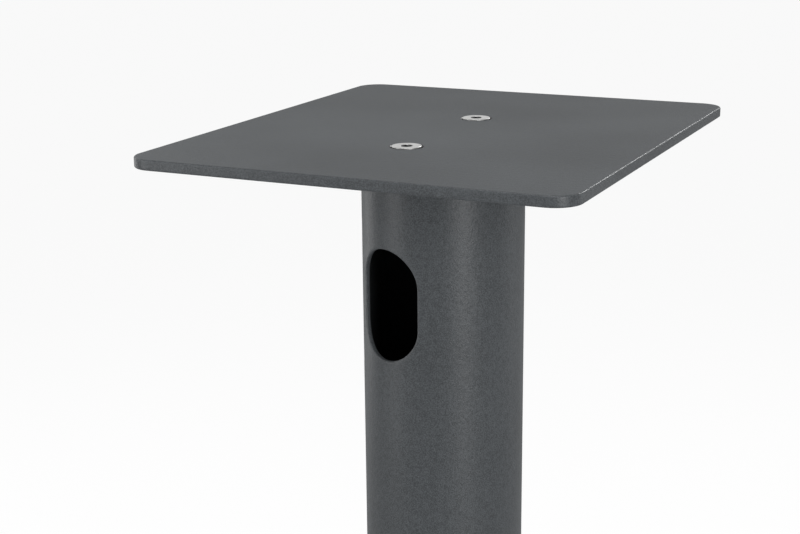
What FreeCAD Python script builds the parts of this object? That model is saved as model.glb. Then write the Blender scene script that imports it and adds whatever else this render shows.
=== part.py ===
import FreeCAD, Part
import math
import os

from FreeCAD import Vector

# Speaker stand. Millimetres, +Z up, front towards -Y.
# The origin is on the floor, on the axis of the column.
# The cable slots look to the rear, +Y, turned a little towards +X.

# Overall
stand_height = 600.0

# Column tube
column_diameter = 63.5
column_wall = 2.0
slot_width = 28.0
slot_height = 44.0
slot_turn = 21.0
slot_inset = 51.0

# Top plate
top_width = 168.0
top_depth = 195.0
top_thickness = 4.0
top_corner = 10.0
top_edge_chamfer = 0.5
top_forward = 6.5

# Screws of the top plate
top_screw_spacing = 66.0
top_screw_diameter = 6.0
top_screw_length = 10.0
top_head_diameter = 11.3
top_head_rim = 1.0
top_head_proud = 0.3
top_socket_flats = 4.0
top_socket_depth = 2.4

# Top flange
top_flange_diameter = 90.0
top_flange_thickness = 8.0

# Base plate
base_width = 250.0
base_depth = 300.0
base_thickness = 8.0
base_corner = 15.0
base_edge_chamfer = 0.8

# Base flange
base_flange_diameter = 112.0
base_flange_thickness = 10.0

# Screws of the base
base_screw_count = 3
base_screw_circle = 88.0
base_screw_diameter = 6.0
base_screw_length = 16.0
base_head_diameter = 12.0
base_head_sunk = 0.4
base_socket_flats = 4.0
base_socket_depth = 2.4

# Levelling spikes
spike_edge_distance = 26.0
spike_thread_diameter = 6.0
spike_collar_flats = 10.0
spike_collar_height = 5.0
spike_cone_diameter = 6.0
spike_cone_height = 5.0
spike_free_thread = 5.0
spike_above_nut = 8.0
spike_socket_flats = 3.0
spike_socket_depth = 4.0

# Lock nuts
nut_flats = 10.0
nut_thickness = 5.0

# Floor discs and their pads
disc_diameter = 24.0
disc_thickness = 5.0
dimple_diameter = 4.0
dimple_depth = 2.0
pad_side = 14.0
pad_thickness = 1.5

# Clearances and angles
hole_clearance = 0.3
thread_play = 0.05
countersink_angle = 90.0

# Heights, from the floor up
disc_top_z = pad_thickness + disc_thickness
spike_tip_z = disc_top_z - dimple_depth
collar_bottom_z = spike_tip_z + spike_cone_height
collar_top_z = collar_bottom_z + spike_collar_height
base_bottom_z = collar_top_z + spike_free_thread
base_top_z = base_bottom_z + base_thickness
base_flange_top_z = base_top_z + base_flange_thickness
nut_top_z = base_top_z + nut_thickness
spike_top_z = nut_top_z + spike_above_nut
top_bottom_z = stand_height - top_thickness
top_flange_bottom_z = top_bottom_z - top_flange_thickness

# Radii shared by what fits together
column_radius = column_diameter / 2
column_bore_radius = column_radius - column_wall
spike_hole_radius = spike_thread_diameter / 2 + thread_play

UP = Vector(0, 0, 1)
DOWN = Vector(0, 0, -1)

CORNERS = {
    "front_left": (-1, -1),
    "front_right": (1, -1),
    "rear_left": (-1, 1),
    "rear_right": (1, 1),
}


def revolve_profile(points, centre=Vector(0, 0, 0)):
    """Solid of revolution about +Z of a closed outline of (radius, height) points."""
    corners = [Vector(radius, 0, height) for radius, height in points]
    outline = Part.Face(Part.makePolygon(corners + corners[:1]))
    turned = outline.revolve(Vector(0, 0, 0), UP, 360)
    turned.translate(centre)
    return turned


def cylinder(radius, low_z, high_z, centre=Vector(0, 0, 0)):
    """Upright cylinder between two heights."""
    base = Vector(centre.x, centre.y, low_z)
    return Part.makeCylinder(radius, high_z - low_z, base, UP)


def hexagon_prism(flats, low_z, high_z, centre=Vector(0, 0, 0)):
    """Upright prism with six sides, given its width across the flats."""
    radius = flats / math.sqrt(3)
    angles = [math.radians(60 * corner) for corner in range(6)]
    corners = [
        Vector(centre.x + radius * math.cos(a), centre.y + radius * math.sin(a), low_z)
        for a in angles
    ]
    outline = Part.Face(Part.makePolygon(corners + corners[:1]))
    return outline.extrude(Vector(0, 0, high_z - low_z))


def rounded_plate(width, depth, thickness, corner, edge_chamfer, centre):
    """Flat plate with rounded corners and eased edges, its lower face at the centre."""
    low_corner = Vector(centre.x - width / 2, centre.y - depth / 2, centre.z)
    plate = Part.makeBox(width, depth, thickness, low_corner)
    upright = [edge for edge in plate.Edges if abs(edge.tangentAt(0).z) > 0.99]
    plate = plate.makeFillet(corner, upright)
    rims = [edge for edge in plate.Edges if edge.BoundBox.ZLength < thickness / 2]
    return plate.makeChamfer(edge_chamfer, rims)


def cone_height(wide_radius, narrow_radius):
    """Height of a countersunk head's cone between two of its radii."""
    return (wide_radius - narrow_radius) / math.tan(math.radians(countersink_angle / 2))


def countersunk_screw(diameter, length, head_diameter, rim, flats, depth):
    """Screw along -Z with the flat top of its head at the origin and a hex socket in it.

    The rim is the height of the straight edge of the head, 0 for a head with a sharp edge.
    """
    head_radius = head_diameter / 2
    shank_radius = diameter / 2
    profile = [(0, 0), (head_radius, 0)]
    if rim > 0:
        profile.append((head_radius, -rim))
    profile += [
        (shank_radius, -rim - cone_height(head_radius, shank_radius)),
        (shank_radius, -length),
        (0, -length),
    ]
    socket = hexagon_prism(flats, -depth, 1)
    return revolve_profile(profile).cut(socket)


def countersunk_hole(diameter, head_diameter, rim, proud, thickness):
    """Cutter that seats such a screw: the plate's face is at z = 0 and the cone runs out to it.

    The head's top stands proud of that face, or below it where the value is negative.
    """
    hole_radius = diameter / 2 + hole_clearance
    mouth_radius = head_diameter / 2 + (rim - proud) * math.tan(math.radians(countersink_angle / 2))
    return revolve_profile([
        (0, -thickness - 1),
        (hole_radius, -thickness - 1),
        (hole_radius, -cone_height(mouth_radius, hole_radius)),
        (mouth_radius, 0),
        (mouth_radius, 1),
        (0, 1),
    ])


def top_screw_places():
    """Places of the two screws in the top plate, on a line from front to rear."""
    return [Vector(0, side * top_screw_spacing / 2, 0) for side in (-1, 1)]


def base_screw_places():
    """Places of the base screws, evenly round their circle, clear of the plate's axes."""
    step = 360 / base_screw_count
    angles = [math.radians(step * (index + 0.5)) for index in range(base_screw_count)]
    radius = base_screw_circle / 2
    return [Vector(radius * math.cos(a), radius * math.sin(a), 0) for a in angles]


def spike_place(corner):
    """Place of one corner's spike in plan."""
    x_side, y_side = CORNERS[corner]
    x = x_side * (base_width / 2 - spike_edge_distance)
    y = y_side * (base_depth / 2 - spike_edge_distance)
    return Vector(x, y, 0)


def cable_slot(centre_z):
    """Cutter for one cable slot: an obround prism from the column's axis outwards."""
    round_radius = slot_width / 2
    straight = slot_height / 2 - round_radius
    reach = column_radius + 5
    lower = Part.makeCylinder(round_radius, reach, Vector(0, 0, centre_z - straight), Vector(0, 1, 0))
    upper = Part.makeCylinder(round_radius, reach, Vector(0, 0, centre_z + straight), Vector(0, 1, 0))
    middle = Part.makeBox(
        slot_width, reach, 2 * straight, Vector(-round_radius, 0, centre_z - straight)
    )
    prism = lower.fuse([upper, middle]).removeSplitter()
    prism.rotate(Vector(0, 0, 0), DOWN, slot_turn)
    return prism


def make_column_tube():
    """Round tube with a cable slot near each end."""
    tube = cylinder(column_radius, base_flange_top_z, top_flange_bottom_z)
    tube = tube.cut(cylinder(column_bore_radius, base_flange_top_z, top_flange_bottom_z))
    slots = [
        cable_slot(top_flange_bottom_z - slot_inset),
        cable_slot(base_flange_top_z + slot_inset),
    ]
    return tube.cut(slots)


def make_flange(diameter, low_z, high_z, screw_diameter, places):
    """Round plate that closes one end of the tube, tapped for the screws of its own plate."""
    hole_radius = screw_diameter / 2 + thread_play
    holes = [cylinder(hole_radius, low_z, high_z, place) for place in places]
    return cylinder(diameter / 2, low_z, high_z).cut(holes)


def make_top_flange():
    return make_flange(
        top_flange_diameter, top_flange_bottom_z, top_bottom_z,
        top_screw_diameter, top_screw_places(),
    )


def make_base_flange():
    return make_flange(
        base_flange_diameter, base_top_z, base_flange_top_z,
        base_screw_diameter, base_screw_places(),
    )


def make_top_plate():
    """Thin plate that carries the loudspeaker, with two countersunk holes."""
    centre = Vector(0, -top_forward, top_bottom_z)
    plate = rounded_plate(
        top_width, top_depth, top_thickness, top_corner, top_edge_chamfer, centre
    )
    hole = countersunk_hole(
        top_screw_diameter, top_head_diameter, top_head_rim, top_head_proud, top_thickness
    )
    cutters = []
    for place in top_screw_places():
        cutter = hole.copy()
        cutter.translate(place + Vector(0, 0, stand_height))
        cutters.append(cutter)
    return plate.cut(cutters)


def make_top_plate_screws():
    screw = countersunk_screw(
        top_screw_diameter, top_screw_length, top_head_diameter, top_head_rim,
        top_socket_flats, top_socket_depth,
    )
    screws = []
    for place in top_screw_places():
        placed = screw.copy()
        placed.translate(place + Vector(0, 0, stand_height + top_head_proud))
        screws.append(placed)
    return Part.makeCompound(screws)


def make_base_plate():
    """Heavy plate with countersunk holes from below and a tapped hole at each corner."""
    plate = rounded_plate(
        base_width, base_depth, base_thickness, base_corner, base_edge_chamfer,
        Vector(0, 0, base_bottom_z),
    )
    hole = countersunk_hole(
        base_screw_diameter, base_head_diameter, 0, -base_head_sunk, base_thickness
    )
    hole.rotate(Vector(0, 0, 0), Vector(1, 0, 0), 180)
    cutters = []
    for place in base_screw_places():
        cutter = hole.copy()
        cutter.translate(place + Vector(0, 0, base_bottom_z))
        cutters.append(cutter)
    for corner in CORNERS:
        cutters.append(cylinder(spike_hole_radius, base_bottom_z, base_top_z, spike_place(corner)))
    return plate.cut(cutters)


def make_base_screws():
    screw = countersunk_screw(
        base_screw_diameter, base_screw_length, base_head_diameter, 0,
        base_socket_flats, base_socket_depth,
    )
    screw.rotate(Vector(0, 0, 0), Vector(1, 0, 0), 180)
    screws = []
    for place in base_screw_places():
        placed = screw.copy()
        placed.translate(place + Vector(0, 0, base_bottom_z + base_head_sunk))
        screws.append(placed)
    return Part.makeCompound(screws)


def make_lock_nut(centre):
    """Thin six-sided nut on the base plate, bored for its spike."""
    prism = hexagon_prism(nut_flats, base_top_z, nut_top_z, centre)
    return prism.cut(cylinder(spike_hole_radius, base_top_z, nut_top_z, centre))


def make_lock_nuts():
    return Part.makeCompound([make_lock_nut(spike_place(corner)) for corner in CORNERS])


def make_spike(corner):
    """Levelling spike: sharp cone, spanner collar and threaded shank with a hex socket."""
    centre = spike_place(corner)
    cone = revolve_profile([
        (0, spike_tip_z),
        (spike_cone_diameter / 2, collar_bottom_z),
        (0, collar_bottom_z),
    ], centre)
    collar = hexagon_prism(spike_collar_flats, collar_bottom_z, collar_top_z, centre)
    shank = cylinder(spike_thread_diameter / 2, collar_top_z, spike_top_z, centre)
    socket = hexagon_prism(
        spike_socket_flats, spike_top_z - spike_socket_depth, spike_top_z + 1, centre
    )
    return cone.fuse([collar, shank]).cut(socket)


def make_floor_disc(corner):
    """Flat disc with a dimple in which the spike stands."""
    centre = spike_place(corner)
    dimple = cylinder(dimple_diameter / 2, spike_tip_z, disc_top_z + 1, centre)
    return cylinder(disc_diameter / 2, pad_thickness, disc_top_z, centre).cut(dimple)


def make_floor_pad(corner):
    """Thin square rubber pad, stuck under one floor disc."""
    low_corner = spike_place(corner) - Vector(pad_side / 2, pad_side / 2, 0)
    return Part.makeBox(pad_side, pad_side, pad_thickness, low_corner)


def build_parts():
    """Every node by name."""
    parts = {
        "top_plate": make_top_plate(),
        "top_plate_screws": make_top_plate_screws(),
        "top_flange": make_top_flange(),
        "column_tube": make_column_tube(),
        "base_flange": make_base_flange(),
        "base_plate": make_base_plate(),
        "base_screws": make_base_screws(),
        "lock_nuts": make_lock_nuts(),
    }
    for corner in CORNERS:
        parts["spike_" + corner] = make_spike(corner)
        parts["floor_disc_" + corner] = make_floor_disc(corner)
        parts["floor_pad_" + corner] = make_floor_pad(corner)
    return parts


os.makedirs("parts", exist_ok=True)
for node, shape in build_parts().items():
    shape.exportStep("parts/" + node + ".step")
    box = shape.BoundBox
    print(node, "valid", shape.isValid(), "volume", round(shape.Volume, 1),
          "solids", len(shape.Solids),
          "box", [round(v, 2) for v in (box.XMin, box.YMin, box.ZMin, box.XMax, box.YMax, box.ZMax)])
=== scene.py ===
"""Speaker stand: coated plates and column, countersunk screws, levelling spikes and floor discs.

Everything is in metres, +Z up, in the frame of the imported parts.
"""
import math

import bmesh
import bpy
import numpy as np
from bpy.props import FloatProperty, FloatVectorProperty, IntProperty, PointerProperty
from mathutils import Matrix, Vector
from mathutils.geometry import delaunay_2d_cdt


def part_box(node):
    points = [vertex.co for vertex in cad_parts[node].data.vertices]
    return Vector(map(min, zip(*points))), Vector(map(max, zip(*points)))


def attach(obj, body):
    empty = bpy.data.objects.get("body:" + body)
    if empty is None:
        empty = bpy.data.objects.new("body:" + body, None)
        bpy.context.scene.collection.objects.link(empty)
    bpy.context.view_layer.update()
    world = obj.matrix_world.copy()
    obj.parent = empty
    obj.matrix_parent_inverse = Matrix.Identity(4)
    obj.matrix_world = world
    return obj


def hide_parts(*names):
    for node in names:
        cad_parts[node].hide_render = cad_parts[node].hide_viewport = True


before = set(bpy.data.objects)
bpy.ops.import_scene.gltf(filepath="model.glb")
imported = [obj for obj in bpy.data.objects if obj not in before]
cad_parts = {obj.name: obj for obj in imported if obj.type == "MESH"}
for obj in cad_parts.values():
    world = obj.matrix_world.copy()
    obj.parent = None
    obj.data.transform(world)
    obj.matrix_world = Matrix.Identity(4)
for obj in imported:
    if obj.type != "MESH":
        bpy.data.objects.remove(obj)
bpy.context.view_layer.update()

bl_info = {
    "name": "Speaker Stand",
    "version": (1, 0, 0),
    "blender": (4, 5, 0),
    "location": "View3D > Sidebar > Stand",
    "description": "Builds a steel speaker stand with levelling spikes",
    "category": "Add Mesh",
}

CORNERS = ("front_left", "front_right", "rear_left", "rear_right")

# Steps of the meshes
ROUND_STEPS = 96  # once round
SMALL_ROUND_STEPS = 48  # once round a small piece
COLUMN_STEPS = 160  # once round the tube
CORNER_STEPS = 24  # round a plate's corner
EDGE_STEPS = 4  # round an edge
BEAD_STEPS = 10  # across a weld bead
RIPPLE_STEPS = 6  # along a ripple of that bead
THREAD_STEPS = 10  # along one pitch of a thread

# Part of the tube's grid that a cable slot replaces
WINDOW_COLUMNS = 20  # to each side of the slot's middle
WINDOW_ROWS = 15  # above and below it
WINDOW_ROW_HEIGHT = 0.002

SHARP_ANGLE = math.radians(32)
MERGE_DISTANCE = 2e-6
HAIRLINE = 0.0001  # between two rings of a crisp edge
FLAT_MARGIN = 0.0003  # keeps a face flat in the shading
THREAD_DEPTH = 0.61  # share of the pitch
THREAD_BEVEL = 0.0003
THREAD_LEAD = 0.0004
THREAD_PLAY = 0.00005
# the zinc is painted with shade over the socket's rings, the mouth's ring in part
SOCKET_RECESS_ROWS = 5.6  # rings of a socket, the one at its mouth by a part

# Sockets of the colour mix
MIX_FIRST, MIX_SECOND, MIX_RESULT = 6, 7, 2

SENSOR_WIDTH = 36.0
LAMP_AIM_HEIGHT = 0.5


# ---- settings ----


class PlateSettings(bpy.types.PropertyGroup):
    """Sizes of the two plates and the flanges"""

    top_corner: FloatProperty(
        name="Top corner", description="Corner radius of the top plate", default=0.010, unit="LENGTH")
    top_edge: FloatProperty(
        name="Top edge", description="Rounding of the top plate's edges", default=0.0006, unit="LENGTH")
    base_corner: FloatProperty(
        name="Base corner", description="Corner radius of the base plate", default=0.015, unit="LENGTH")
    base_edge: FloatProperty(
        name="Base edge", description="Rounding of the base plate's edges", default=0.0009, unit="LENGTH")
    flange_edge: FloatProperty(
        name="Flange edge", description="Rounding of the flanges' edges", default=0.0008, unit="LENGTH")
    mouth_edge: FloatProperty(
        name="Hole edge", description="Rounding of the holes' coated edges", default=0.00012, unit="LENGTH")


class ColumnSettings(bpy.types.PropertyGroup):
    """Sizes of the tube, its cable slots and its weld beads"""

    wall: FloatProperty(name="Wall", description="Wall of the tube", default=0.002, unit="LENGTH")
    slot_width: FloatProperty(
        name="Slot width", description="Width of both cable slots", default=0.028, unit="LENGTH")
    slot_height: FloatProperty(
        name="Slot height", description="Height of both cable slots", default=0.044, unit="LENGTH")
    slot_inset: FloatProperty(
        name="Slot inset", description="From a tube end to its slot's centre", default=0.051, unit="LENGTH")
    slot_turn: FloatProperty(
        name="Slot turn", description="Turn of the slots from the rear towards +X",
        default=math.radians(21), subtype="ANGLE")
    slot_edge: FloatProperty(
        name="Slot edge", description="Rounding of the slots' coated edges", default=0.0007, unit="LENGTH")
    weld_leg: FloatProperty(
        name="Weld leg", description="Leg of both weld beads", default=0.004, unit="LENGTH")
    weld_ripples: IntProperty(name="Weld ripples", description="Ripples once round a weld bead", default=84)
    weld_relief: FloatProperty(
        name="Weld relief", description="Height of a ripple", default=0.00022, unit="LENGTH")


class ScrewSettings(bpy.types.PropertyGroup):
    """Sizes of screws, threads and lock nuts"""

    thread: FloatProperty(
        name="Thread", description="Thread diameter of all screws and spikes", default=0.006, unit="LENGTH")
    pitch: FloatProperty(name="Pitch", description="Pitch of that thread", default=0.001, unit="LENGTH")
    clearance: FloatProperty(
        name="Clearance", description="Gap round a screw in its plate", default=0.0003, unit="LENGTH")
    top_spacing: FloatProperty(
        name="Top spacing", description="Between the top plate's two screws", default=0.066, unit="LENGTH")
    top_head: FloatProperty(
        name="Top head", description="Head diameter of the top plate's screws", default=0.0113, unit="LENGTH")
    top_rim: FloatProperty(
        name="Top rim", description="Straight edge of those heads", default=0.001, unit="LENGTH")
    head_edge: FloatProperty(
        name="Head edge", description="Rounding of the heads' edges", default=0.00025, unit="LENGTH")
    base_circle: FloatProperty(
        name="Base circle", description="Circle of the base screws", default=0.088, unit="LENGTH")
    base_count: IntProperty(name="Base screws", description="Number of base screws", default=3)
    base_head: FloatProperty(
        name="Base head", description="Head diameter of the base screws", default=0.012, unit="LENGTH")
    socket: FloatProperty(
        name="Socket", description="Hex sockets, across their flats", default=0.004, unit="LENGTH")
    socket_depth: FloatProperty(
        name="Socket depth", description="Depth of those sockets", default=0.0024, unit="LENGTH")
    nut_flats: FloatProperty(
        name="Nut", description="Lock nuts, across their flats", default=0.010, unit="LENGTH")


class FootSettings(bpy.types.PropertyGroup):
    """Sizes of spikes, floor discs and pads"""

    collar_flats: FloatProperty(
        name="Collar", description="Spike's collar, across its flats", default=0.010, unit="LENGTH")
    collar_height: FloatProperty(
        name="Collar height", description="Height of that collar", default=0.005, unit="LENGTH")
    cone_height: FloatProperty(
        name="Cone", description="Height of the spike's cone", default=0.005, unit="LENGTH")
    socket: FloatProperty(
        name="Socket", description="Spike's hex socket, across its flats", default=0.003, unit="LENGTH")
    socket_depth: FloatProperty(
        name="Socket depth", description="Depth of that socket", default=0.004, unit="LENGTH")
    disc_edge: FloatProperty(
        name="Disc edge", description="Rounding of the floor discs", default=0.0009, unit="LENGTH")
    dimple: FloatProperty(
        name="Dimple", description="Width of the dimple under a spike", default=0.0044, unit="LENGTH")
    dimple_depth: FloatProperty(
        name="Dimple depth", description="Depth of that dimple", default=0.002, unit="LENGTH")
    dimple_edge: FloatProperty(
        name="Dimple edge", description="Rounding of that dimple's rim", default=0.0002, unit="LENGTH")
    pad_corner: FloatProperty(
        name="Pad corner", description="Corner radius of the rubber pads", default=0.002, unit="LENGTH")
    pad_edge: FloatProperty(
        name="Pad edge", description="Rounding of the rubber pads", default=0.0002, unit="LENGTH")


class FinishSettings(bpy.types.PropertyGroup):
    """Colours of the finishes"""

    coat: FloatVectorProperty(
        name="Coat", description="Powder coat of the plates and the column",
        default=(0.0362, 0.0394, 0.0422), subtype="COLOR")
    matt_share: FloatProperty(
        name="Matt share", description="Share of the coat that has no gloss", default=0.68, subtype="FACTOR")
    # painted shade: this near-black colour, labelled bare steel, stands in for the shade inside the tube and
    # in the countersinks
    painted_hollow_shade: FloatVectorProperty(
        name="Bare steel", description="Uncoated inside of the tube and of the countersinks",
        default=(0.004, 0.004, 0.004), subtype="COLOR")
    zinc: FloatVectorProperty(
        name="Zinc", description="Bright zinc of the screws", default=(0.39, 0.39, 0.385), subtype="COLOR")
    black: FloatVectorProperty(
        name="Black steel", description="Black oxide of spikes and nuts",
        default=(0.075, 0.076, 0.080), subtype="COLOR")
    turned: FloatVectorProperty(
        name="Turned steel", description="Nickel of the floor discs",
        default=(0.62, 0.61, 0.58), subtype="COLOR")
    rubber: FloatVectorProperty(
        name="Rubber", description="Rubber of the pads", default=(0.018, 0.018, 0.019), subtype="COLOR")


class StageSettings(bpy.types.PropertyGroup):
    """Camera, floor and plain light"""

    camera_place: FloatVectorProperty(
        name="Camera", description="Place of the camera",
        default=(-0.230158, 0.521869, 0.702059), unit="LENGTH")
    heading: FloatProperty(
        name="Heading", description="Turn of the camera about the upright",
        default=math.radians(205.514), subtype="ANGLE")
    pitch: FloatProperty(
        name="Pitch", description="The camera looks down by this",
        default=math.radians(15.278), subtype="ANGLE")
    roll: FloatProperty(
        name="Roll", description="Roll of the camera", default=math.radians(-0.596), subtype="ANGLE")
    lens: FloatProperty(
        name="Lens", description="Focal length in millimetres on a 36 mm sensor", default=67.67)
    floor_colour: FloatVectorProperty(
        name="Floor", description="Pale floor", default=(0.80, 0.80, 0.80), subtype="COLOR")
    floor_glow: FloatProperty(
        name="Floor glow", description="White share of the floor as seen", default=0.93, subtype="FACTOR")
    room_level: FloatProperty(name="Room", description="Plain light from all round", default=0.27)


# ---- surfaces ----


class Surface:
    """Grids and flat faces that become one mesh.

    Each point also keeps its place about its own upright axis, and how far it lies in a recess.
    """

    def __init__(self):
        self.points, self.faces, self.count = [], [], 0
        self.places, self.recesses = [], []

    def add(self, points, faces, axis=(0, 0), recess=0):
        """Adds points, and faces that count from the first of them."""
        points = np.asarray(points, float).reshape(-1, 3)
        self.points.append(points)
        self.places.append(points - (*axis, 0))
        self.recesses.append(np.broadcast_to(recess, len(points)))
        self.faces += (np.asarray(faces) + self.count).tolist()
        self.count += len(points)

    def grid(self, points, keep=..., axis=(0, 0), recess_rows=0):
        """Quads between neighbouring points of a grid, rows by columns, less those where keep is false.

        The first rows may lie in a recess: a row's points hold the rows that are left, from 0 to 1.
        """
        rows, columns = points.shape[:2]
        recess = np.repeat(np.clip(recess_rows - np.arange(rows), 0, 1), columns)
        corner = np.arange(rows * columns).reshape(rows, columns)
        quads = np.stack([corner[:-1, :-1], corner[:-1, 1:], corner[1:, 1:], corner[1:, :-1]], -1)
        self.add(points, quads[keep].reshape(-1, 4), axis, recess)

    def flat(self, outline, holes, height):
        """Flat face at one height: Delaunay triangles between an outline and the round holes in it.

        A triangle whose centre is nearer to a hole's axis than the hole's radius is left out.
        """
        loops = [outline, *(circle(radius, axis) for axis, radius in holes)]
        points = np.concatenate([loop[:-1] for loop in loops])
        edges, first = [], 0
        for loop in loops:
            size = len(loop) - 1
            ring = first + np.arange(size)
            edges += np.stack([ring, np.roll(ring, -1)], -1).tolist()
            first += size
        inside_only, least_gap = 1, 1e-9
        points = [Vector(point) for point in points]
        found, _, triangles, *_ = delaunay_2d_cdt(points, edges, [], inside_only, least_gap)
        plan = np.array([tuple(point) for point in found])
        triangles = np.array(triangles)
        centres = plan[triangles].mean(1)
        inside = np.zeros(len(triangles), bool)
        for axis, radius in holes:
            inside |= np.hypot(*(centres - np.asarray(axis)).T) < radius
        self.add(np.column_stack([plan, np.full(len(plan), height)]), triangles[~inside])

    def mesh(self, name):
        """A new mesh of all points and faces."""
        mesh = bpy.data.meshes.new(name)
        mesh.from_pydata(np.concatenate(self.points).tolist(), [], self.faces)
        return mesh

    def piece(self, name, finish, body, slot, *nodes):
        """One closed, smooth mesh as a piece that rides on a body and stands for its nodes."""
        mesh = self.mesh(name)
        place = mesh.attributes.new("axis_place", "FLOAT_VECTOR", "POINT")
        place.data.foreach_set("vector", np.concatenate(self.places).astype(np.float32).ravel())
        recess = mesh.attributes.new("recess", "FLOAT", "POINT")
        recess.data.foreach_set("value", np.concatenate(self.recesses).astype(np.float32))
        shell = bmesh.new()
        shell.from_mesh(mesh)
        bmesh.ops.remove_doubles(shell, verts=shell.verts, dist=MERGE_DISTANCE)
        bmesh.ops.recalc_face_normals(shell, faces=shell.faces)
        shell.to_mesh(mesh)
        shell.free()
        mesh.shade_smooth()
        mesh.set_sharp_from_angle(angle=SHARP_ANGLE)
        mesh.materials.append(finish)
        piece = bpy.data.objects.new(name, mesh)
        bpy.context.scene.collection.objects.link(piece)
        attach(piece, body)
        if nodes:
            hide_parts(*nodes)


def once_round(steps):
    """Angles once round, with the first again at the end."""
    return np.linspace(0, 2 * np.pi, steps + 1)


def rounded_profile(corners):
    """Points of an open profile through (distance, height, rounding) corners.

    A rounding r at a corner that turns by t is an arc that touches both legs r tan(t / 2) from the
    corner; one more point on each leg, r further on, keeps the leg flat in the shading.
    """
    corners = np.asarray(corners, float)
    points = [corners[0, :2]]
    for before, (x, z, rounding), after in zip(corners[:-2], corners[1:-1], corners[2:]):
        corner = np.array([x, z])
        if rounding == 0:
            points.append(corner)
            continue
        way_in = corner - before[:2]
        way_out = after[:2] - corner
        way_in /= np.linalg.norm(way_in)
        way_out /= np.linalg.norm(way_out)
        turn = math.acos(np.clip(way_in @ way_out, -1, 1))
        reach = rounding * math.tan(turn / 2)
        side = way_out - (way_out @ way_in) * way_in
        side /= np.linalg.norm(side)
        start = corner - reach * way_in
        centre = start + rounding * side
        angle = np.linspace(0, turn, EDGE_STEPS + 1)[:, None]
        arc = centre + rounding * (np.sin(angle) * way_in - np.cos(angle) * side)
        points += [start - rounding * way_in, *arc, corner + (reach + rounding) * way_out]
    points.append(corners[-1, :2])
    return np.array(points)


def polar_grid(rings, angle, axis=(0, 0)):
    """Grid of rings about an upright axis: point (i, j) has ring i's radius and height at angle j."""
    radius = np.array([np.broadcast_to(ring[0], angle.shape) for ring in rings])
    height = np.array([np.broadcast_to(ring[1], angle.shape) for ring in rings])
    return np.stack([axis[0] + radius * np.cos(angle), axis[1] + radius * np.sin(angle), height], -1)


def circle(radius, axis):
    """Closed ring of points in plan."""
    return polar_grid([(radius, 0)], once_round(SMALL_ROUND_STEPS), axis)[0, :, :2]


def hexagon(flats, angle):
    """Radius of a hexagon with a corner at angle 0: half its width over the cosine from the nearest flat."""
    return flats / 2 / np.cos(np.mod(angle, np.pi / 3) - np.pi / 6)


def rounded_rectangle(low, high, corner, inset):
    """Closed outline of a rectangle with rounded corners, moved inwards: four quarter circles."""
    quarter = np.linspace(0, np.pi / 2, CORNER_STEPS + 1)
    angle = (quarter + np.arange(4)[:, None] * np.pi / 2).ravel()
    right = np.repeat([1, 0, 0, 1], len(quarter))
    back = np.repeat([1, 1, 0, 0], len(quarter))
    x = np.where(right, high[0] - corner, low[0] + corner) + (corner - inset) * np.cos(angle)
    y = np.where(back, high[1] - corner, low[1] + corner) + (corner - inset) * np.sin(angle)
    outline = np.stack([x, y], -1)
    return np.concatenate([outline, outline[:1]])


def add_plate(surface, low, high, corner, edge, holes=()):
    """Flat plate: its edge profile carried round its outline, its two faces, and its holes.

    A hole is its axis and its profile of (radius, height, rounding) from the upper face down.
    """
    margin = 3 * edge
    profile = rounded_profile([
        (margin, high[2], 0), (0, high[2], edge), (0, low[2], edge), (margin, low[2], 0)])
    rows = []
    for inset, z in profile:
        outline = rounded_rectangle(low, high, corner, inset)
        rows.append(np.column_stack([outline, np.full(len(outline), z)]))
    surface.grid(np.array(rows))
    bores = [(axis, rounded_profile(corners)) for axis, corners in holes]
    for axis, bore in bores:
        surface.grid(polar_grid(bore, once_round(SMALL_ROUND_STEPS), axis), axis=axis)
    outline = rounded_rectangle(low, high, corner, margin)
    for end, height in ((0, high[2]), (-1, low[2])):
        surface.flat(outline, [(axis, bore[end, 0]) for axis, bore in bores], height)


def countersink(hole, mouth, high, low, edge):
    """Profile of a countersunk hole from the face at high, where its 90 degree cone has its mouth."""
    way = math.copysign(1, high - low)
    margin = 4 * edge
    return [
        (mouth + margin, high, 0), (mouth, high, edge), (hole, high - way * (mouth - hole), 0),
        (hole, low, edge), (hole + margin, low, 0)]


def plain_hole(hole, high, low, edge):
    """Profile of a straight hole from the face at high."""
    margin = 4 * edge
    return [(hole + margin, high, 0), (hole, high, edge), (hole, low, edge), (hole + margin, low, 0)]


def thread_rings(first, last, major, pitch, angle):
    """Rings of a screw thread: the radius follows a triangle wave of height / pitch - turn.

    The wave is clipped to a flat root and crest, and fades out over one pitch at both ends.
    """
    rows = int(abs(last - first) / pitch * THREAD_STEPS)
    depth = THREAD_DEPTH * pitch
    steepness, root = 1.35, 0.15
    rings = []
    for height in np.linspace(first, last, rows + 1):
        phase = np.mod(height / pitch - angle / (2 * np.pi), 1)
        wave = np.clip(steepness * np.abs(2 * phase - 1) - root, 0, 1)
        fade = min(1, min(abs(height - first), abs(height - last)) / pitch)
        rings.append((major - depth * (1 - wave * fade), height))
    return rings


def socket_rings(flats, top, depth, angle):
    """Rings of a hex socket from the middle of its drilled floor up to its chamfered mouth."""
    hexes = hexagon(flats, angle)
    corner_gap = 0.00008
    mouth = flats / math.sqrt(3) + corner_gap
    floor = top - depth
    drilled_radius = hexes * 0.92
    drilled_depth = flats * 0.12
    chamfer_depth = (mouth - hexes) * 0.6 + HAIRLINE
    return [
        (0, floor - drilled_depth), (drilled_radius, floor), (hexes, floor), (hexes, floor + 2 * HAIRLINE),
        (hexes, top - chamfer_depth), (mouth, top), (mouth + HAIRLINE, top)]


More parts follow.
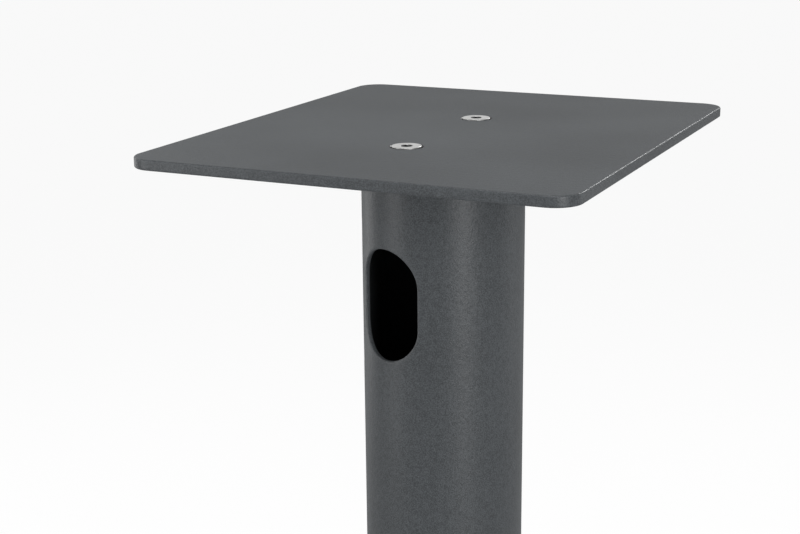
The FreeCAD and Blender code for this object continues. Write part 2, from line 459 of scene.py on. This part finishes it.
def screw_rings(top, tip, settings, head, rim, angle):
    """Rings of a countersunk screw from its socket over its head and down its thread."""
    head_radius = head / 2
    land_radius = settings.socket * 0.7
    least_rim = 0.0004
    shank = settings.thread / 2
    core = core_radius(settings)
    neck = top - rim - (head_radius - shank)
    thread_start = neck - 2 * HAIRLINE
    profile = rounded_profile([
        (land_radius, top, 0), (head_radius, top, settings.head_edge),
        (head_radius, top - max(rim, least_rim), 0), (shank, neck, 0), (core, thread_start, 0)])
    return [
        *socket_rings(settings.socket, top, settings.socket_depth, angle), *profile,
        *thread_rings(thread_start, tip + THREAD_BEVEL, shank, settings.pitch, angle),
        (core - THREAD_BEVEL, tip), (0, tip)]


def core_radius(settings):
    """Radius at the root of the thread."""
    return settings.thread / 2 - THREAD_DEPTH * settings.pitch


def box_centre(node):
    """Middle of a node's box in plan."""
    low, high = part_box(node)
    return ((low.x + high.x) / 2, (low.y + high.y) / 2)


# ---- finishes ----


class Value:
    """A shader socket in arithmetic: every operation adds its own Math node."""

    def __init__(self, finish, socket):
        self.finish, self.socket = finish, socket

    def math(self, operation, *operands):
        return self.finish.node("ShaderNodeMath", dict(enumerate(operands)), operation=operation)

    def __add__(self, other):
        return self.math("ADD", self, other)

    def __sub__(self, other):
        return self.math("SUBTRACT", self, other)

    def __rsub__(self, other):
        return self.math("SUBTRACT", other, self)

    def __mul__(self, other):
        return self.math("MULTIPLY", self, other)

    __radd__ = __add__
    __rmul__ = __mul__

    def ramp(self, start, end):
        """0 at start, 1 at end, straight between and held outside."""
        share = (self - start) * (1 / (end - start))
        return self.math("MAXIMUM", self.math("MINIMUM", share, 1), 0)


class Finish:
    """The nodes of a new material, or of the world."""

    def __init__(self, owner):
        owner.use_nodes = True
        self.owner = owner
        self.tree = owner.node_tree
        self.tree.nodes.clear()

    @classmethod
    def named(cls, name):
        return cls(bpy.data.materials.new(name))

    def node(self, kind, inputs=None, output=0, **settings):
        """Adds a node with its settings, and the values or links of its sockets; gives one output."""
        node = self.tree.nodes.new(kind)
        for key, value in settings.items():
            setattr(node, key, value)
        for key, value in (inputs or {}).items():
            if isinstance(value, Value):
                self.tree.links.new(value.socket, node.inputs[key])
            else:
                node.inputs[key].default_value = value
        return Value(self, node.outputs[output]) if node.outputs else None

    def coordinates(self):
        return self.node("ShaderNodeTexCoord", output="Object")

    def attribute(self, name, output):
        return self.node("ShaderNodeAttribute", output=output, attribute_name=name)

    def noise(self, vector, scale, detail=2.0, roughness=0.5):
        inputs = {"Vector": vector, "Scale": scale, "Detail": detail, "Roughness": roughness}
        return self.node("ShaderNodeTexNoise", inputs)

    def rings(self, radius, scale, detail):
        """Noise along the radius alone, as turning leaves it."""
        inputs = {"W": radius, "Scale": scale, "Detail": detail}
        return self.node("ShaderNodeTexNoise", inputs, noise_dimensions="1D")

    def mix(self, factor, first, second):
        """Colour between two, by a factor."""
        inputs = {0: factor, MIX_FIRST: first, MIX_SECOND: second}
        return self.node("ShaderNodeMix", inputs, MIX_RESULT, data_type="RGBA")

    def shades(self, factor, colour, *strengths):
        """A colour between two strengths of it, by a factor."""
        ends = [(*(min(1.0, part * strength) for part in colour), 1) for strength in strengths]
        return self.mix(factor, *ends)

    def distance_in_plan(self, vector, spacing=0):
        """Distance from the upright axis, or from the nearer of two that stand apart along Y."""
        def step(operation, inputs, output="Vector"):
            return self.node("ShaderNodeVectorMath", inputs, output, operation=operation)
        folded = step("ABSOLUTE", {0: vector})
        moved = step("SUBTRACT", {0: folded, 1: (0, spacing / 2, 0)})
        plan = step("MULTIPLY", {0: moved, 1: (1, 1, 0)})
        return step("LENGTH", {0: plan}, "Value")

    def bump(self, height, distance, strength):
        return self.node("ShaderNodeBump", {"Height": height, "Distance": distance, "Strength": strength})

    def surface(self, inputs, matt=0):
        """The finished surface, with a share of it quite matt."""
        shader = self.node("ShaderNodeBsdfPrincipled", inputs)
        if matt:
            dull = self.node("ShaderNodeBsdfPrincipled", {
                "Base Color": inputs["Base Color"], "Normal": inputs["Normal"],
                "Roughness": 1.0, "Specular IOR Level": 0.0})
            shader = self.node("ShaderNodeMixShader", {0: matt, 1: shader, 2: dull})
        self.node("ShaderNodeOutputMaterial", {"Surface": shader})
        return self.owner


def powder_coat(name, painted_shade_radius=0, painted_shade_spacing=0):
    """Satin powder coat: fine orange peel, small speckles and faint clouds.

    Inside a radius about the column's axis, or about two axes that stand apart along Y, it is painted with
    shade: a near-black colour in place of the shade there.
    """
    colours = bpy.context.scene.stand_finishes
    finish = Finish.named(name)
    at = finish.coordinates()
    clouds = finish.noise(at, scale=14.0, detail=3.0)
    mottle = finish.noise(at, scale=420.0, roughness=0.6)
    speckle = finish.noise(at, scale=2200.0, roughness=0.7)
    peel = finish.noise(at, scale=620.0, roughness=0.55)
    grain = finish.noise(at, scale=2600.0, detail=1.0)
    shade = (0.2 * clouds + 0.15 * mottle + 0.65 * speckle).ramp(0.42, 0.58)
    colour = finish.shades(shade, colours.coat, 0.70, 1.32)
    # painted shade inside the tube, and in the countersinks and a thin ring round their mouths
    if painted_shade_radius:
        radius = finish.distance_in_plan(at, painted_shade_spacing)
        coated = radius.ramp(painted_shade_radius - 2 * HAIRLINE, painted_shade_radius + 4 * HAIRLINE)
        # painted shade: the near-black colour that stands for shade
        steel = finish.shades(clouds, colours.painted_hollow_shade, 0.8, 1.3)
        colour = finish.mix(coated, steel, colour)
    return finish.surface({
        "Base Color": colour,
        "Roughness": 0.22 + 0.22 * speckle + 0.08 * mottle,
        "Normal": finish.bump(0.65 * peel + 0.35 * grain, distance=0.00022, strength=0.8),
    }, colours.matt_share)


def zinc_plate():
    """Bright zinc: rings left by turning, faint clouds, and painted shade in the socket and round the rim."""
    colours = bpy.context.scene.stand_finishes
    screws = bpy.context.scene.stand_screws
    finish = Finish.named("bright_zinc")
    at = finish.attribute("axis_place", "Vector")
    radius = finish.distance_in_plan(at)
    rings = finish.rings(radius, scale=9000.0, detail=2.0)
    cloud = finish.noise(at, scale=420.0, detail=3.0)
    plated = finish.shades(cloud.ramp(0.3, 0.7), colours.zinc, 0.86, 1.05)
    # painted shade: near-black zinc for the socket and the head's rim, where shade falls
    painted_zinc_shade = finish.shades(cloud, colours.zinc, 0.04, 0.10)
    recess = finish.attribute("recess", "Fac")
    edge = screws.top_head / 2
    # ring of painted shade just inside the head's rim, where it meets its countersink
    rim = radius.ramp(edge - 0.00035, edge - 0.00005)
    # the socket's rings and that ring take the painted shade
    unshaded_share = (1 - recess) * (1 - 0.6 * rim)
    return finish.surface({
        "Base Color": finish.mix(unshaded_share, painted_zinc_shade, plated),
        "Metallic": 1.0,
        "Roughness": 0.30 + 0.14 * cloud,
        "Normal": finish.bump(0.7 * rings + 0.3 * cloud, distance=0.00003, strength=0.6),
    })


def black_steel():
    """Black oxide on machined steel, rubbed a little lighter in places."""
    colours = bpy.context.scene.stand_finishes
    finish = Finish.named("black_oxide_steel")
    at = finish.coordinates()
    rubbed = finish.noise(at, scale=260.0, detail=4.0, roughness=0.6)
    fine = finish.noise(at, scale=3200.0)
    return finish.surface({
        "Base Color": finish.shades(rubbed.ramp(0.35, 0.75), colours.black, 1.0, 1.9),
        "Metallic": 0.85,
        "Roughness": 0.34 + 0.16 * rubbed,
        "Normal": finish.bump(fine, distance=0.00002, strength=0.5),
    })


def turned_steel():
    """Nickel plated turned steel with fine rings round its own axis."""
    colours = bpy.context.scene.stand_finishes
    finish = Finish.named("turned_nickel_steel")
    at = finish.attribute("axis_place", "Vector")
    radius = finish.distance_in_plan(at)
    rings = finish.rings(radius, scale=5200.0, detail=3.0)
    smudge = finish.noise(at, scale=130.0, detail=3.0)
    return finish.surface({
        "Base Color": finish.shades(smudge.ramp(0.3, 0.7), colours.turned, 0.85, 1.0),
        "Metallic": 1.0,
        "Roughness": 0.24 + 0.10 * smudge + 0.08 * rings,
        "Normal": finish.bump(rings, distance=0.00003, strength=0.6),
    })


def rubber():
    """Matt black rubber with a fine grain."""
    colours = bpy.context.scene.stand_finishes
    finish = Finish.named("matt_rubber")
    at = finish.coordinates()
    grain = finish.noise(at, scale=2400.0, detail=3.0, roughness=0.6)
    dust = finish.noise(at, scale=300.0, detail=3.0)
    return finish.surface({
        "Base Color": finish.shades(dust.ramp(0.4, 0.8), colours.rubber, 1.0, 1.8),
        "Roughness": 0.74 + 0.14 * grain,
        "Normal": finish.bump(grain, distance=0.00005, strength=0.6),
    })


# ---- pieces ----


class STAND_OT_top_plate(bpy.types.Operator):
    """Build the top plate with its two countersunk holes"""
    bl_idname = "stand.top_plate"
    bl_label = "Top Plate"

    def execute(self, context):
        plates = context.scene.stand_plates
        screws = context.scene.stand_screws
        low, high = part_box("top_plate")
        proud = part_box("top_plate_screws")[1].z - high.z
        hole = screws.thread / 2 + screws.clearance
        mouth = screws.top_head / 2 + screws.top_rim - proud
        profile = countersink(hole, mouth, high.z, low.z, plates.mouth_edge)
        holes = [(axis, profile) for axis in top_screw_axes(screws)]
        surface = Surface()
        add_plate(surface, low, high, plates.top_corner, plates.top_edge, holes)
        # the countersinks and a thin ring round their mouths get painted shade
        finish = powder_coat("coat_top_plate", mouth - HAIRLINE, screws.top_spacing)
        surface.piece("coated_top_plate", finish, "stand", "powder_coat", "top_plate")
        return {"FINISHED"}


class STAND_OT_base_plate(bpy.types.Operator):
    """Build the base plate with its screw holes from below and its spike holes"""
    bl_idname = "stand.base_plate"
    bl_label = "Base Plate"

    def execute(self, context):
        plates = context.scene.stand_plates
        screws = context.scene.stand_screws
        low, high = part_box("base_plate")
        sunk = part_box("base_screws")[0].z - low.z
        hole = screws.thread / 2 + screws.clearance
        mouth = screws.base_head / 2 + sunk
        screw_hole = countersink(hole, mouth, low.z, high.z, plates.mouth_edge)[::-1]
        spike_hole = plain_hole(screws.thread / 2 + THREAD_PLAY, high.z, low.z, plates.mouth_edge)
        holes = [(axis, screw_hole) for axis in base_screw_axes(screws)]
        holes += [(box_centre("spike_" + corner), spike_hole) for corner in CORNERS]
        surface = Surface()
        add_plate(surface, low, high, plates.base_corner, plates.base_edge, holes)
        finish = powder_coat("coat_base_plate")
        surface.piece("coated_base_plate", finish, "stand", "powder_coat", "base_plate")
        return {"FINISHED"}


def top_screw_axes(screws):
    """Axes of the two screws of the top plate."""
    return [(0, side * screws.top_spacing / 2) for side in (-1, 1)]


def base_screw_axes(screws):
    """Axes of the base screws, evenly round their circle, the first half a step round from +X."""
    angle = (np.arange(screws.base_count) + 0.5) * 2 * np.pi / screws.base_count
    radius = screws.base_circle / 2
    return [(radius * math.cos(a), radius * math.sin(a)) for a in angle]


class STAND_OT_flanges(bpy.types.Operator):
    """Build the two round flanges that close the tube"""
    bl_idname = "stand.flanges"
    bl_label = "Flanges"

    def execute(self, context):
        edge = context.scene.stand_plates.flange_edge
        for node in ("top_flange", "base_flange"):
            low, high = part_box(node)
            profile = rounded_profile([
                (0, high.z, 0), (high.x, high.z, edge), (high.x, low.z, edge / 2), (0, low.z, 0)])
            surface = Surface()
            surface.grid(polar_grid(profile, once_round(ROUND_STEPS)))
            surface.piece("coated_" + node, powder_coat("coat_" + node), "stand", "powder_coat", node)
        return {"FINISHED"}


def wrapped(lateral, depth, height, turn):
    """Points on the tube: lateral distance across the slot's own axis, distance from the tube's axis, height.

    The point lies sqrt(depth^2 - lateral^2) along the slot's axis, which is turned from +Y towards +X.
    """
    along = np.sqrt(depth ** 2 - lateral ** 2)
    x = lateral * math.cos(turn) + along * math.sin(turn)
    y = along * math.cos(turn) - lateral * math.sin(turn)
    return np.stack(np.broadcast_arrays(x, y, height), -1)


def add_slot(surface, column, outer, inner, centre_z, window):
    """Wall round one cable slot, and the slot's own edge through the wall.

    Each ring is the slot's outline, moved out from its upright middle line by one distance. The
    window's border points give the directions: each one's nearest point on that line starts its ray.
    """
    sine, rise = window
    half_width = column.slot_width / 2
    straight = column.slot_height / 2 - half_width
    spine = np.clip(rise, -straight, straight)
    far = np.stack([outer * sine, rise - spine])
    ray = far / np.linalg.norm(far, axis=0)
    edge = column.slot_edge

    def ring(distance, depth):
        return wrapped(distance * ray[0], depth, centre_z + spine + distance * ray[1], column.slot_turn)

    def blend(depth, share):
        reach = half_width + edge
        lateral = (1 - share) * depth * sine + share * reach * ray[0]
        height = (1 - share) * rise + share * (spine + reach * ray[1])
        return wrapped(lateral, depth, centre_z + height, column.slot_turn)

    shares = (0, 0.2, 0.4, 0.6, 0.75, 0.87, 0.95, 1)  # of the way from the window's border to the slot
    turn = np.linspace(0, np.pi / 2, EDGE_STEPS + 1)
    rows = [blend(outer, share) for share in shares]
    rows += [ring(half_width + edge * (1 - math.sin(t)), outer - edge * (1 - math.cos(t))) for t in turn[1:]]
    rows += [ring(half_width + edge * (1 - math.cos(t)), inner + edge * (1 - math.sin(t))) for t in turn]
    rows += [blend(inner, share) for share in shares[-2::-1]]
    surface.grid(np.array(rows))


def window_border(angle, rise):
    """Border of a slot's window, from its lowest row round to the start: sines of the angles, and rises."""
    side = len(rise) - 2
    turns = np.concatenate([
        angle, np.full(side, angle[-1]), angle[::-1], np.full(side, angle[0]), angle[:1]])
    rises = np.concatenate([
        np.full(len(angle), rise[0]), rise[1:-1], np.full(len(angle), rise[-1]), rise[-2:0:-1], rise[:1]])
    return np.sin(turns), rises


class STAND_OT_column(bpy.types.Operator):
    """Build the round tube with a cable slot near each end"""
    bl_idname = "stand.column"
    bl_label = "Column"

    def execute(self, context):
        """The walls are grids of rings about the axis, less a window round each slot."""
        column = context.scene.stand_column
        low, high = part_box("column_tube")
        outer = high.x
        inner = outer - column.wall
        number = np.arange(-COLUMN_STEPS // 2, COLUMN_STEPS // 2 + 1)
        angle = number * 2 * np.pi / COLUMN_STEPS
        turned_angle = np.pi / 2 + (angle - column.slot_turn)
        centres = (low.z + column.slot_inset, high.z - column.slot_inset)
        rise = np.arange(-WINDOW_ROWS, WINDOW_ROWS + 1) * WINDOW_ROW_HEIGHT
        heights = np.concatenate([[low.z], centres[0] + rise, centres[1] + rise, [high.z]])
        in_rows = np.zeros(len(heights) - 1, bool)
        for first in (1, 1 + len(rise)):
            in_rows[first:first + len(rise) - 1] = True
        in_columns = (number[:-1] >= -WINDOW_COLUMNS) & (number[:-1] < WINDOW_COLUMNS)
        keep = ~(in_rows[:, None] & in_columns)
        surface = Surface()
        for radius in (outer, inner):
            surface.grid(polar_grid([(radius, height) for height in heights], turned_angle), keep)
        for height in (low.z, high.z):
            surface.grid(polar_grid([(outer, height), (inner, height)], turned_angle))
        window = window_border(angle[np.abs(number) <= WINDOW_COLUMNS], rise)
        for centre_z in centres:
            add_slot(surface, column, outer, inner, centre_z, window)
        # the inside of the tube gets painted shade
        finish = powder_coat("coat_column", inner)
        surface.piece("coated_column", finish, "stand", "powder_coat", "column_tube")
        return {"FINISHED"}


class STAND_OT_weld_beads(bpy.types.Operator):
    """Build the rippled fillet beads between the tube and its flanges"""
    bl_idname = "stand.weld_beads"
    bl_label = "Weld Beads"

    def execute(self, context):
        """Across the bead the section is a straight fillet with a sine crown; round the tube the
        crown rises and falls with a cosine whose phase runs back from the middle to both toes, and
        two slow sines let the legs wander."""
        column = context.scene.stand_column
        low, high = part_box("column_tube")
        radius = high.x
        leg = column.weld_leg
        crown_height, toe_phase, buried = 0.0006, 5.0, 0.0003
        angle = once_round(column.weld_ripples * RIPPLE_STEPS)
        wander = 1 + 0.05 * np.sin(3 * angle + 1.3) + 0.04 * np.sin(7 * angle)
        for name, toe, way in (("top_weld_bead", high.z, -1), ("base_weld_bead", low.z, 1)):
            rings = [(radius - buried, toe - way * buried), (radius - buried, toe + way * leg)]
            for share in np.linspace(0, 1, BEAD_STEPS + 1):
                phase = column.weld_ripples * angle - toe_phase * (2 * share - 1) ** 2
                ripple = column.weld_relief * (0.5 + 0.5 * np.cos(phase))
                crown = (crown_height + ripple) * math.sin(np.pi * share) * math.sqrt(2) / 2
                rings.append((
                    radius + share * leg * wander + crown,
                    toe + way * ((1 - share) * leg * wander + crown)))
            rings += [(radius + leg, toe - way * buried), (radius - buried, toe - way * buried)]
            surface = Surface()
            surface.grid(polar_grid(rings, angle))
            surface.piece(name, powder_coat("coat_" + name), "stand", "powder_coat")
        return {"FINISHED"}


class STAND_OT_screws(bpy.types.Operator):
    """Build the countersunk screws of both plates"""
    bl_idname = "stand.screws"
    bl_label = "Screws"

    def execute(self, context):
        """The base screws are built head up and then turned over."""
        screws = context.scene.stand_screws
        angle = once_round(ROUND_STEPS)
        finish = zinc_plate()
        low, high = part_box("top_plate_screws")
        rings = screw_rings(high.z, low.z, screws, screws.top_head, screws.top_rim, angle)
        surface = Surface()
        for axis in top_screw_axes(screws):
            surface.grid(polar_grid(rings, angle, axis), axis=axis, recess_rows=SOCKET_RECESS_ROWS)
        surface.piece("zinc_top_screws", finish, "stand", "zinc", "top_plate_screws")
        low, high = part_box("base_screws")
        rings = screw_rings(high.z, low.z, screws, screws.base_head, 0, angle)
        surface = Surface()
        for axis in base_screw_axes(screws):
            grid = polar_grid(rings, angle, axis) * (1, 1, -1) + (0, 0, low.z + high.z)
            surface.grid(grid, axis=axis, recess_rows=SOCKET_RECESS_ROWS)
        surface.piece("zinc_base_screws", finish, "stand", "zinc", "base_screws")
        return {"FINISHED"}


def hex_collar_rings(flats, low, high, inside, angle):
    """Rings of a hexagon whose corners are chamfered at 30 degrees, from a radius below to one above."""
    hexes = hexagon(flats, angle)
    face = flats * 0.475
    drop = (hexes - face) * math.tan(math.radians(30))
    return [
        (inside[0], low), (face - FLAT_MARGIN, low), (face, low), (hexes, low + drop),
        (hexes, high - drop), (face, high), (face - FLAT_MARGIN, high), (inside[1], high)]


class STAND_OT_lock_nuts(bpy.types.Operator):
    """Build the four lock nuts on the base plate"""
    bl_idname = "stand.lock_nuts"
    bl_label = "Lock Nuts"

    def execute(self, context):
        screws = context.scene.stand_screws
        low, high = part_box("lock_nuts")
        angle = once_round(ROUND_STEPS)
        bore = screws.thread / 2 + THREAD_PLAY
        mouth = bore + THREAD_LEAD
        lower, upper = (bore, low.z + THREAD_LEAD), (bore, high.z - THREAD_LEAD)
        outside = hex_collar_rings(screws.nut_flats, low.z, high.z, (mouth, mouth), angle)
        surface = Surface()
        for corner in CORNERS:
            axis = box_centre("spike_" + corner)
            surface.grid(polar_grid([lower, *outside, upper, lower], angle, axis), axis=axis)
        surface.piece("black_lock_nuts", black_steel(), "stand", "black_steel", "lock_nuts")
        return {"FINISHED"}


class STAND_OT_spikes(bpy.types.Operator):
    """Build the four levelling spikes"""
    bl_idname = "stand.spikes"
    bl_label = "Spikes"

    def execute(self, context):
        feet = context.scene.stand_feet
        screws = context.scene.stand_screws
        angle = once_round(SMALL_ROUND_STEPS)
        finish = black_steel()
        shank = screws.thread / 2
        core = core_radius(screws)
        blunt = 0.0001
        for corner in CORNERS:
            node = "spike_" + corner
            low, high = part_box(node)
            axis = box_centre(node)
            collar_low = low.z + feet.cone_height
            collar_high = collar_low + feet.collar_height
            inside = (shank + 2 * HAIRLINE, core)
            rings = [
                (0, low.z), (blunt, low.z + blunt / 2), (2 * blunt, low.z + 3 * blunt),
                (shank, collar_low - 2 * HAIRLINE), (shank, collar_low),
                *hex_collar_rings(feet.collar_flats, collar_low, collar_high, inside, angle),
                *thread_rings(collar_high, high.z - THREAD_LEAD, shank, screws.pitch, angle),
                (core - THREAD_BEVEL, high.z), (feet.socket / math.sqrt(3) + 2 * HAIRLINE, high.z),
                *socket_rings(feet.socket, high.z, feet.socket_depth, angle)[::-1],
            ]
            surface = Surface()
            surface.grid(polar_grid(rings, angle, axis), axis=axis)
            surface.piece("threaded_" + node, finish, node, "black_steel", node)
        return {"FINISHED"}


class STAND_OT_floor_discs(bpy.types.Operator):
    """Build the turned floor discs, each with a dimple for its spike"""
    bl_idname = "stand.floor_discs"
    bl_label = "Floor Discs"

    def execute(self, context):
        feet = context.scene.stand_feet
        finish = turned_steel()
        edge = feet.disc_edge
        for corner in CORNERS:
            node = "floor_disc_" + corner
            low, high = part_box(node)
            axis = box_centre(node)
            radius = high.x - axis[0]
            profile = rounded_profile([
                (0, high.z - feet.dimple_depth, 0), (feet.dimple / 2, high.z, feet.dimple_edge),
                (radius, high.z, edge), (radius, low.z, edge / 3), (0, low.z, 0)])
            surface = Surface()
            surface.grid(polar_grid(profile, once_round(ROUND_STEPS), axis), axis=axis)
            surface.piece("turned_" + node, finish, "foot_" + corner, "turned_steel", node)
        return {"FINISHED"}


class STAND_OT_floor_pads(bpy.types.Operator):
    """Build the rubber pads under the floor discs"""
    bl_idname = "stand.floor_pads"
    bl_label = "Floor Pads"

    def execute(self, context):
        feet = context.scene.stand_feet
        finish = rubber()
        for corner in CORNERS:
            node = "floor_pad_" + corner
            low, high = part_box(node)
            surface = Surface()
            add_plate(surface, low, high, feet.pad_corner, feet.pad_edge)
            surface.piece("rubber_" + node, finish, "foot_" + corner, "rubber", node)
        return {"FINISHED"}


# ---- stage ----


LAMPS = (
    # name, degrees round from the camera, degrees up, distance, width, height, power
    ("right_softbox", 28, 8, 1.5, 0.42, 1.3, 26.0),
    ("left_softbox", -71, 8, 1.5, 0.32, 1.3, 15.5),
    ("rear_left_softbox", -128, 6, 1.5, 0.60, 1.3, 9.0),
    ("rear_right_softbox", 108, 6, 1.5, 0.50, 1.3, 3.5),
    ("rear_right_strip", 146, 27, 1.5, 0.30, 0.4, 10.0),
    ("rear_left_top", -145, 32, 1.5, 0.80, 0.4, 2.5),
    ("overhead", -8, 73, 0.6, 0.30, 0.3, 2.4),
)


class STAND_OT_stage(bpy.types.Operator):
    """Set the pale floor, the soft lamps, the plain room and the camera"""
    bl_idname = "stand.stage"
    bl_label = "Stage"

    def execute(self, context):
        stage = context.scene.stand_stage
        self.floor(stage)
        self.room(context, stage)
        place = Vector(stage.camera_place)
        for lamp in LAMPS:
            self.lamp(context, math.atan2(place.y, place.x), *lamp)
        self.camera(context, stage)
        return {"FINISHED"}

    def floor(self, stage):
        """Round floor, a grid of rings that grow by a steady ratio."""
        first, last, rings = 0.5, 30, 12
        radii = np.concatenate([[0], np.geomspace(first, last, rings)])
        surface = Surface()
        surface.grid(polar_grid([(radius, 0) for radius in radii], once_round(ROUND_STEPS))[::-1])
        mesh = surface.mesh("floor")
        mesh.validate()
        finish = Finish.named("pale_floor")
        seen = seen_share(finish)
        paint = finish.node("ShaderNodeBsdfDiffuse", {"Color": (*stage.floor_colour, 1)})
        glow = finish.node("ShaderNodeEmission", {"Color": (1, 1, 1, 1), "Strength": 1.0})
        mixed = finish.node("ShaderNodeMixShader", {0: seen * stage.floor_glow, 1: paint, 2: glow})
        finish.node("ShaderNodeOutputMaterial", {"Surface": mixed})
        mesh.materials.append(finish.owner)
        floor = bpy.data.objects.new("floor", mesh)
        bpy.context.scene.collection.objects.link(floor)

    def room(self, context, stage):
        """White where it is seen, a plain level where it only lights."""
        room = Finish(bpy.data.worlds.new("room"))
        context.scene.world = room.owner
        seen = seen_share(room)
        level = stage.room_level + seen * (1 - stage.room_level)
        light = room.node("ShaderNodeBackground", {"Color": (1, 1, 1, 1), "Strength": level})
        room.node("ShaderNodeOutputWorld", {"Surface": light})

    def lamp(self, context, camera_angle, name, round_turn, up, distance, width, height, power):
        """Softbox aimed at the upper half of the stand."""
        data = bpy.data.lights.new(name, "AREA")
        data.shape = "RECTANGLE"
        data.size, data.size_y, data.energy = width, height, power
        angle = camera_angle + math.radians(round_turn)
        rise = math.radians(up)
        way = Vector((math.cos(angle) * math.cos(rise), math.sin(angle) * math.cos(rise), math.sin(rise)))
        lamp = bpy.data.objects.new(name, data)
        lamp.location = Vector((0, 0, LAMP_AIM_HEIGHT)) + distance * way
        lamp.rotation_mode = "QUATERNION"
        lamp.rotation_quaternion = (-way).to_track_quat("-Z", "Y")
        context.scene.collection.objects.link(lamp)

    def camera(self, context, stage):
        data = bpy.data.cameras.new("camera")
        data.sensor_width = SENSOR_WIDTH
        data.lens = stage.lens
        data.clip_start, data.clip_end = 0.01, 100.0
        camera = bpy.data.objects.new("camera", data)
        camera.matrix_world = (
            Matrix.Translation(stage.camera_place) @ Matrix.Rotation(stage.heading, 4, "Z")
            @ Matrix.Rotation(math.pi / 2 - stage.pitch, 4, "X") @ Matrix.Rotation(stage.roll, 4, "Z"))
        context.scene.collection.objects.link(camera)
        context.scene.camera = camera
        context.scene.view_settings.view_transform = "Standard"


def seen_share(finish):
    """1 for rays that see a surface: from the camera, from a gloss or through a glass."""
    def ray(kind):
        return finish.node("ShaderNodeLightPath", output=kind)
    total = ray("Is Camera Ray") + ray("Is Glossy Ray") + ray("Is Transmission Ray")
    return total.math("MINIMUM", total, 1)


# ---- panel and registration ----


OPERATORS = (
    STAND_OT_top_plate, STAND_OT_column, STAND_OT_flanges, STAND_OT_weld_beads, STAND_OT_base_plate,
    STAND_OT_screws, STAND_OT_lock_nuts, STAND_OT_spikes, STAND_OT_floor_discs, STAND_OT_floor_pads,
    STAND_OT_stage)

SETTINGS = {
    "stand_plates": PlateSettings,
    "stand_column": ColumnSettings,
    "stand_screws": ScrewSettings,
    "stand_feet": FootSettings,
    "stand_finishes": FinishSettings,
    "stand_stage": StageSettings,
}


class STAND_PT_panel(bpy.types.Panel):
    """The stand's settings and pieces"""
    bl_idname = "STAND_PT_panel"
    bl_label = "Speaker Stand"
    bl_space_type = "VIEW_3D"
    bl_region_type = "UI"
    bl_category = "Stand"

    def draw(self, context):
        for name, settings in SETTINGS.items():
            box = self.layout.box()
            for key in settings.__annotations__:
                box.prop(getattr(context.scene, name), key)
        for operator in OPERATORS:
            self.layout.operator(operator.bl_idname)


def register():
    for kind in (*SETTINGS.values(), *OPERATORS, STAND_PT_panel):
        bpy.utils.register_class(kind)
    for name, settings in SETTINGS.items():
        setattr(bpy.types.Scene, name, PointerProperty(type=settings))


def unregister():
    for name in SETTINGS:
        delattr(bpy.types.Scene, name)
    for kind in reversed((*SETTINGS.values(), *OPERATORS, STAND_PT_panel)):
        bpy.utils.unregister_class(kind)


def main():
    register()
    for operator in OPERATORS:
        name = operator.bl_idname.split(".")[1]
        getattr(bpy.ops.stand, name)()


if __name__ == "__main__":
    main()
